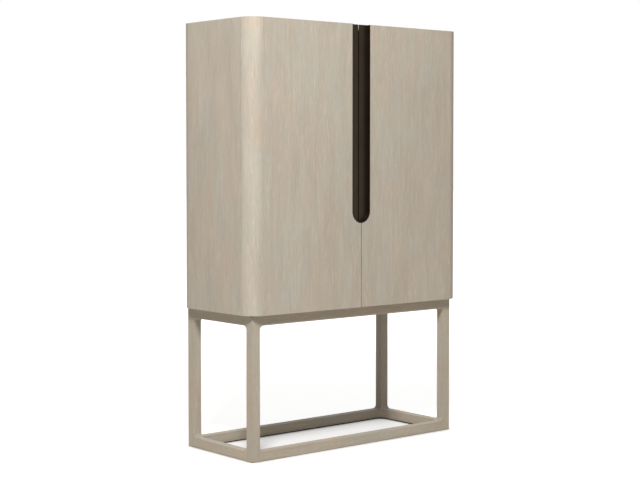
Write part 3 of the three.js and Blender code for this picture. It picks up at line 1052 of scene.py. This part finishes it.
def placing(place, facing):
    """The matrix that puts a form on a place, with its top facing one way."""
    turn = Vector(facing).to_track_quat("Z", "Y").to_matrix().to_4x4()
    return Matrix.Translation(place) @ turn


def countersink(place, facing, radius):
    """What is cut out for a screw head."""
    form = turned_shares(SINK_PROFILE_SHARES, radius)
    bmesh.ops.transform(form, matrix=placing(place, facing), verts=form.verts)
    return form


def put_screw(form, place, facing, radius):
    """Adds a screw head to a form."""
    before = len(form.verts)
    form.from_mesh(screw_head)
    form.verts.ensure_lookup_table()
    times = radius / MODEL_HEAD_RADIUS
    matrix = placing(place, facing) @ Matrix.Diagonal((times, times, times, 1.0))
    bmesh.ops.transform(form, matrix=matrix, verts=form.verts[before:])


def add_to_mesh(made, forms, spots, facing, radius):
    """Adds loose forms, which are used up, and screws to a piece's own mesh."""
    whole = bmesh.new()
    whole.from_mesh(made.data)
    for form in forms:
        mesh = bpy.data.meshes.new("loose_form")
        form.to_mesh(mesh)
        form.free()
        whole.from_mesh(mesh)
        bpy.data.meshes.remove(mesh)
    for spot in spots:
        put_screw(whole, spot, facing, radius)
    whole.to_mesh(made.data)
    whole.free()


def arm_outline(side, towards):
    """A link arm, seen from above. It bends round the door's turning axis into the other half."""
    points = [
        *arc(0.0, 0.0, ARM_RADIUS + ARM_THICKNESS / 2, ARM_ROOT, ARM_REACH),
        *arc(0.0, 0.0, ARM_RADIUS - ARM_THICKNESS / 2, ARM_REACH, ARM_ROOT),
    ]
    return [(side * (outer_x - across), seam_y + towards * along) for across, along in points]


def make_hinge_half(place, side, number, half):
    """One half of a hinge: a shell with its pocket, two screws and its link arms."""
    node_name = f"hinge_{place}_{number}_{half}_half"
    low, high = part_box(node_name)
    into = 1 if half == "side" else -1
    mouth, end = (low[1], high[1]) if into > 0 else (high[1], low[1])
    facing = (0.0, -into, 0.0)
    middle_x = (low[0] + high[0]) / 2
    middle_z = (low[2] + high[2]) / 2
    shell = piece(
        f"{place}_hinge_{number}_{half}", prism(round_ended(low, high), low[1], high[1], "y")
    )
    pocket = rounded(
        (low[0] + HINGE_WALL, middle_z - POCKET_HALF_HEIGHT),
        (high[0] - HINGE_WALL, middle_z + POCKET_HALF_HEIGHT),
        HINGE_WALL,
    )
    pocket_ends = sorted((mouth - into * CUT_PAST, end - into * HINGE_FLOOR))
    tools = [prism(pocket, *pocket_ends, "y")]
    spots = []
    for sign in (-1, 1):
        spot = (middle_x, mouth, middle_z + sign * HINGE_SCREW_SPACING)
        spots.append(spot)
        tools.append(countersink(spot, facing, HINGE_SCREW_RADIUS))
    cut(shell, *tools)
    ease_edges(shell, METAL_ARRIS, METAL_ARRIS_STEPS)
    keep_shape(shell)
    bands = [INNER_ARM_BAND]
    if half == "side":
        bands = [OUTER_ARM_BAND, (-OUTER_ARM_BAND[1], -OUTER_ARM_BAND[0])]
    arms = []
    for bottom, top in bands:
        arms.append(prism(arm_outline(side, -into), middle_z + bottom, middle_z + top))
    add_to_mesh(shell, arms, spots, facing, HINGE_SCREW_RADIUS)
    body = "carcass" if half == "side" else f"{place}_door"
    finish_piece(shell, body, "hinge_steel", satin_steel, node_name)


satin_steel = speckled(
    "satin_steel", STEEL_COLOUR, STEEL_ROUGHNESS, STEEL_SPREAD, STEEL_SPECKLES, metal=1.0
)
for place, side in SIDES:
    for number in HINGE_NUMBERS:
        for half in ("side", "door"):
            make_hinge_half(place, side, number, half)

# Magnetic catches and strike plates. A black plastic housing is screwed to the partition beside
# each door's edge. Two steel poles show at its front and hold the plate on the back of the door.
HOUSING_ARRIS = 0.0012
POLE_WIDTH = 0.0022
POLE_SPREAD = 0.0030
POLE_HALF_HEIGHT = 0.014
POLE_LENGTH = 0.010
POLE_PROUD = 0.0002
CATCH_SCREW_RADIUS = 0.0026
CATCH_SCREW_REACH = 0.0155
CATCH_SCREW_BACK = 0.020
STRIKE_CORNER = 0.004
STRIKE_SCREW_RADIUS = 0.0030

for place, side in SIDES:
    low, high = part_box(f"magnet_catch_{place}")
    middle_x = (low[0] + high[0]) / 2
    middle_z = (low[2] + high[2]) / 2
    open_face = high[0] if side > 0 else low[0]
    facing = (side, 0.0, 0.0)
    housing = piece(
        f"{place}_catch_housing", block((low[0], low[1] + POLE_PROUD, low[2]), high)
    )
    spots = []
    tools = []
    poles = []
    for sign in (-1, 1):
        spot = (open_face, low[1] + CATCH_SCREW_BACK, middle_z + sign * CATCH_SCREW_REACH)
        spots.append(spot)
        tools.append(countersink(spot, facing, CATCH_SCREW_RADIUS))
        pole_x = middle_x + sign * POLE_SPREAD
        poles.append(
            block(
                (pole_x - POLE_WIDTH / 2, low[1], middle_z - POLE_HALF_HEIGHT),
                (pole_x + POLE_WIDTH / 2, low[1] + POLE_LENGTH, middle_z + POLE_HALF_HEIGHT),
            )
        )
    cut(housing, *tools)
    ease_edges(housing, HOUSING_ARRIS)
    finish_piece(housing, "carcass", "catch_plastic", black_plastic, f"magnet_catch_{place}")
    catch_poles = piece(f"{place}_catch_poles", poles[0])
    add_to_mesh(catch_poles, poles[1:], spots, facing, CATCH_SCREW_RADIUS)
    finish_piece(catch_poles, "carcass", "hinge_steel", satin_steel)

    low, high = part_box(f"strike_plate_{place}")
    plate_shape = rounded((low[0], low[2]), (high[0], high[2]), STRIKE_CORNER)
    strike = piece(f"{place}_strike", prism(plate_shape, low[1], high[1], "y"))
    spot = ((low[0] + high[0]) / 2, high[1], (low[2] + high[2]) / 2)
    facing = (0.0, 1.0, 0.0)
    cut(strike, countersink(spot, facing, STRIKE_SCREW_RADIUS))
    ease_edges(strike, METAL_ARRIS, METAL_ARRIS_STEPS)
    keep_shape(strike)
    add_to_mesh(strike, [], [spot], facing, STRIKE_SCREW_RADIUS)
    finish_piece(strike, f"{place}_door", "hinge_steel", satin_steel, f"strike_plate_{place}")

# Serving shelf and its leaf. The oak leaf lies on the fixed shelf and turns over on a long brass
# hinge at the shelf's front edge, to lie level in front of it on the two pull-out bearers.
PIN_RADIUS = 0.0012
PLATE_THICKNESS = 0.0016
KNUCKLES = 9
KNUCKLE_STEPS = 36
LONG_HINGE_SCREWS = 8
LONG_SCREW_RADIUS = 0.0026
LONG_HINGE_SHARP_ANGLE = math.radians(35.0)
BRASS_COLOUR = (0.56, 0.41, 0.18)
BRASS_ROUGHNESS = 0.28
BRASS_SPREAD = 0.10
BRASS_SPECKLES = 1200.0

keep_node("serving_shelf", oak("across", "inside"), BOARD_ARRIS)
keep_node("fold_out_leaf", oak("across"), BOARD_ARRIS)

brass = speckled(
    "satin_brass", BRASS_COLOUR, BRASS_ROUGHNESS, BRASS_SPREAD, BRASS_SPECKLES, metal=1.0
)
shelf_half_low, shelf_half_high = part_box("leaf_hinge_shelf_half")
hinge_left = shelf_half_low[0]
hinge_right = shelf_half_high[0]
knuckle_radius = (shelf_half_high[2] - shelf_half_low[2]) / 2
knuckle_length = (hinge_right - hinge_left) / KNUCKLES
pin_y = shelf_half_low[1] + knuckle_radius
pin_z = (shelf_half_low[2] + shelf_half_high[2]) / 2


def rod(start, end, radius):
    """A round bar along the hinge's pin."""
    return prism(circle(pin_y, pin_z, radius, KNUCKLE_STEPS), start, end, "x")


def knuckle(index, growth=0.0):
    """One knuckle of the long hinge, or the larger form that makes room for it."""
    start = hinge_left + index * knuckle_length + FIT / 2 - growth
    return rod(start, start + knuckle_length - FIT + 2 * growth, knuckle_radius + growth)


def long_hinge_half(name, cad_node, body, first_knuckle, with_pin):
    """A screwed plate with every other knuckle. One of the two carries the pin."""
    plate_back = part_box(cad_node)[1][1]
    plate_low = pin_z - PLATE_THICKNESS if with_pin else pin_z + FIT
    plate_high = plate_low + PLATE_THICKNESS
    plate = piece(
        name, block((hinge_left, pin_y, plate_low), (hinge_right, plate_back, plate_high))
    )
    own_knuckles = [knuckle(index) for index in range(first_knuckle, KNUCKLES, 2)]
    cut(plate, *own_knuckles, how="UNION")
    tools = [knuckle(index, FIT) for index in range(1 - first_knuckle, KNUCKLES, 2)]
    facing = (0.0, 0.0, 1.0 if with_pin else -1.0)
    screw_y = (pin_y + knuckle_radius + plate_back) / 2
    screw_z = plate_high if with_pin else plate_low
    screw_spacing = (hinge_right - hinge_left) / LONG_HINGE_SCREWS
    spots = []
    for index in range(LONG_HINGE_SCREWS):
        spot = (hinge_left + (index + 0.5) * screw_spacing, screw_y, screw_z)
        spots.append(spot)
        tools.append(countersink(spot, facing, LONG_SCREW_RADIUS))
    if not with_pin:
        tools.append(rod(hinge_left - CUT_PAST, hinge_right + CUT_PAST, PIN_RADIUS + FIT))
    cut(plate, *tools)
    if with_pin:
        cut(plate, rod(hinge_left, hinge_right, PIN_RADIUS), how="UNION")
    add_to_mesh(plate, [], spots, facing, LONG_SCREW_RADIUS)
    plate.data.set_sharp_from_angle(angle=LONG_HINGE_SHARP_ANGLE)
    finish_piece(plate, body, "brass", brass, cad_node)


long_hinge_half("long_hinge_on_shelf", "leaf_hinge_shelf_half", "carcass", 0, True)
long_hinge_half("long_hinge_on_leaf", "leaf_hinge_leaf_half", "serving_leaf", 1, False)

# Bearers. Two oak bars run on tongued guides under the shelf and are pulled out by hand before the
# leaf is turned over. Each has a small turned brass knob screwed into its front end.
BEARER_ARRIS = 0.0010
KNOB_PROFILE = (
    # radius and distance from the bearer's end
    (0.0, -0.004),
    (0.0022, -0.004),
    (0.0022, 0.0035),
    (0.0028, 0.0050),
    (0.0050, 0.0065),
    (0.0062, 0.0085),
    (0.0060, 0.0105),
    (0.0046, 0.0120),
    (0.0, 0.0125),
)

for place in ("left", "right"):
    keep_node(f"bearer_{place}", oak("front_to_back"), BEARER_ARRIS)
    keep_node(f"bearer_guide_{place}", oak("front_to_back", "inside"), BOARD_ARRIS)
    low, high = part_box(f"bearer_{place}")
    end = Vector(((low[0] + high[0]) / 2, low[1], (low[2] + high[2]) / 2))
    knob_form = turned(KNOB_PROFILE)
    bmesh.ops.transform(knob_form, matrix=placing(end, (0.0, -1.0, 0.0)), verts=knob_form.verts)
    knob = piece(f"{place}_bearer_knob", knob_form)
    finish_piece(knob, f"{place}_bearer", "brass", brass)

# Mirror and glass shelf. The silvered mirror stands on the serving shelf against the back, and its
# edge is ground to a wide flat bevel. The glass shelf slides into grooves in the two boards.
MIRROR_BEVEL = 0.014
MIRROR_BEVEL_DEPTH = 0.0022
MIRROR_SHARP_ANGLE = math.radians(2.0)
MIRROR_TINTS = ((0.80, 0.83, 0.82, 1.0), (0.86, 0.88, 0.87, 1.0))
MIRROR_LEAST_ROUGHNESS = 0.01
GLASS_TINTS = ((0.90, 0.97, 0.95, 1.0), (0.93, 0.98, 0.97, 1.0))
GLASS_BEND = 1.5
GLASS_ARRIS = 0.0009
HAZE_SPREAD = 0.03
HAZE_DETAIL = 3.0
MIRROR_HAZE_PATCHES = 9.0
GLASS_HAZE_PATCHES = 12.0


def make_mirror():
    """Silvered glass with the faintest haze."""
    finish, tree, position = new_finish("silvered_glass")
    haze = noise(tree, position, MIRROR_HAZE_PATCHES, HAZE_DETAIL)
    feed(
        tree,
        tree.nodes["Principled BSDF"],
        {
            "Base Color": blend(tree, haze, *MIRROR_TINTS),
            "Metallic": 1.0,
            "Roughness": scaled(tree, haze, HAZE_SPREAD, MIRROR_LEAST_ROUGHNESS),
        },
    )
    return finish


def make_glass():
    """Clear glass with a faint green tint."""
    finish, tree, position = new_finish("clear_glass")
    haze = noise(tree, position, GLASS_HAZE_PATCHES, HAZE_DETAIL)
    feed(
        tree,
        tree.nodes["Principled BSDF"],
        {
            "Base Color": blend(tree, haze, *GLASS_TINTS),
            "Roughness": scaled(tree, haze, HAZE_SPREAD),
            "IOR": GLASS_BEND,
            "Transmission Weight": 1.0,
        },
    )
    return finish


low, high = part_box("mirror")
mirror_form = bmesh.new()
rings = []
for y, inset in (
    (high[1], 0.0),
    (low[1] + MIRROR_BEVEL_DEPTH, 0.0),
    (low[1], MIRROR_BEVEL),
):
    corners = (
        (low[0] + inset, low[2] + inset),
        (high[0] - inset, low[2] + inset),
        (high[0] - inset, high[2] - inset),
        (low[0] + inset, high[2] - inset),
    )
    rings.append([mirror_form.verts.new((x, y, z)) for x, z in corners])
mirror_form.faces.new(rings[0])
mirror_form.faces.new(rings[-1])
for back_ring, front_ring in zip(rings, rings[1:]):
    for index in range(len(back_ring)):
        after = (index + 1) % len(back_ring)
        mirror_form.faces.new(
            (back_ring[index], back_ring[after], front_ring[after], front_ring[index])
        )
bmesh.ops.recalc_face_normals(mirror_form, faces=mirror_form.faces)
mirror = piece("bevelled_mirror", mirror_form)
mirror.data.set_sharp_from_angle(angle=MIRROR_SHARP_ANGLE)
finish_piece(mirror, "carcass", "mirror", make_mirror(), "mirror")
keep_node("glass_shelf", make_glass(), GLASS_ARRIS)

# Left compartment: two fixed shelves, three upright dividers that make four bottle bays, and a
# slotted rack under the top that holds stemmed glasses by the foot. All are solid or veneered oak.
for level in ("lower", "upper"):
    keep_node(f"{level}_shelf", oak("across", "inside"), BOARD_ARRIS)
for number in (1, 2, 3):
    keep_node(f"bottle_divider_{number}", oak("upright", "inside"), BOARD_ARRIS)
keep_node("stemware_rack", oak("across", "inside"), BOARD_ARRIS)
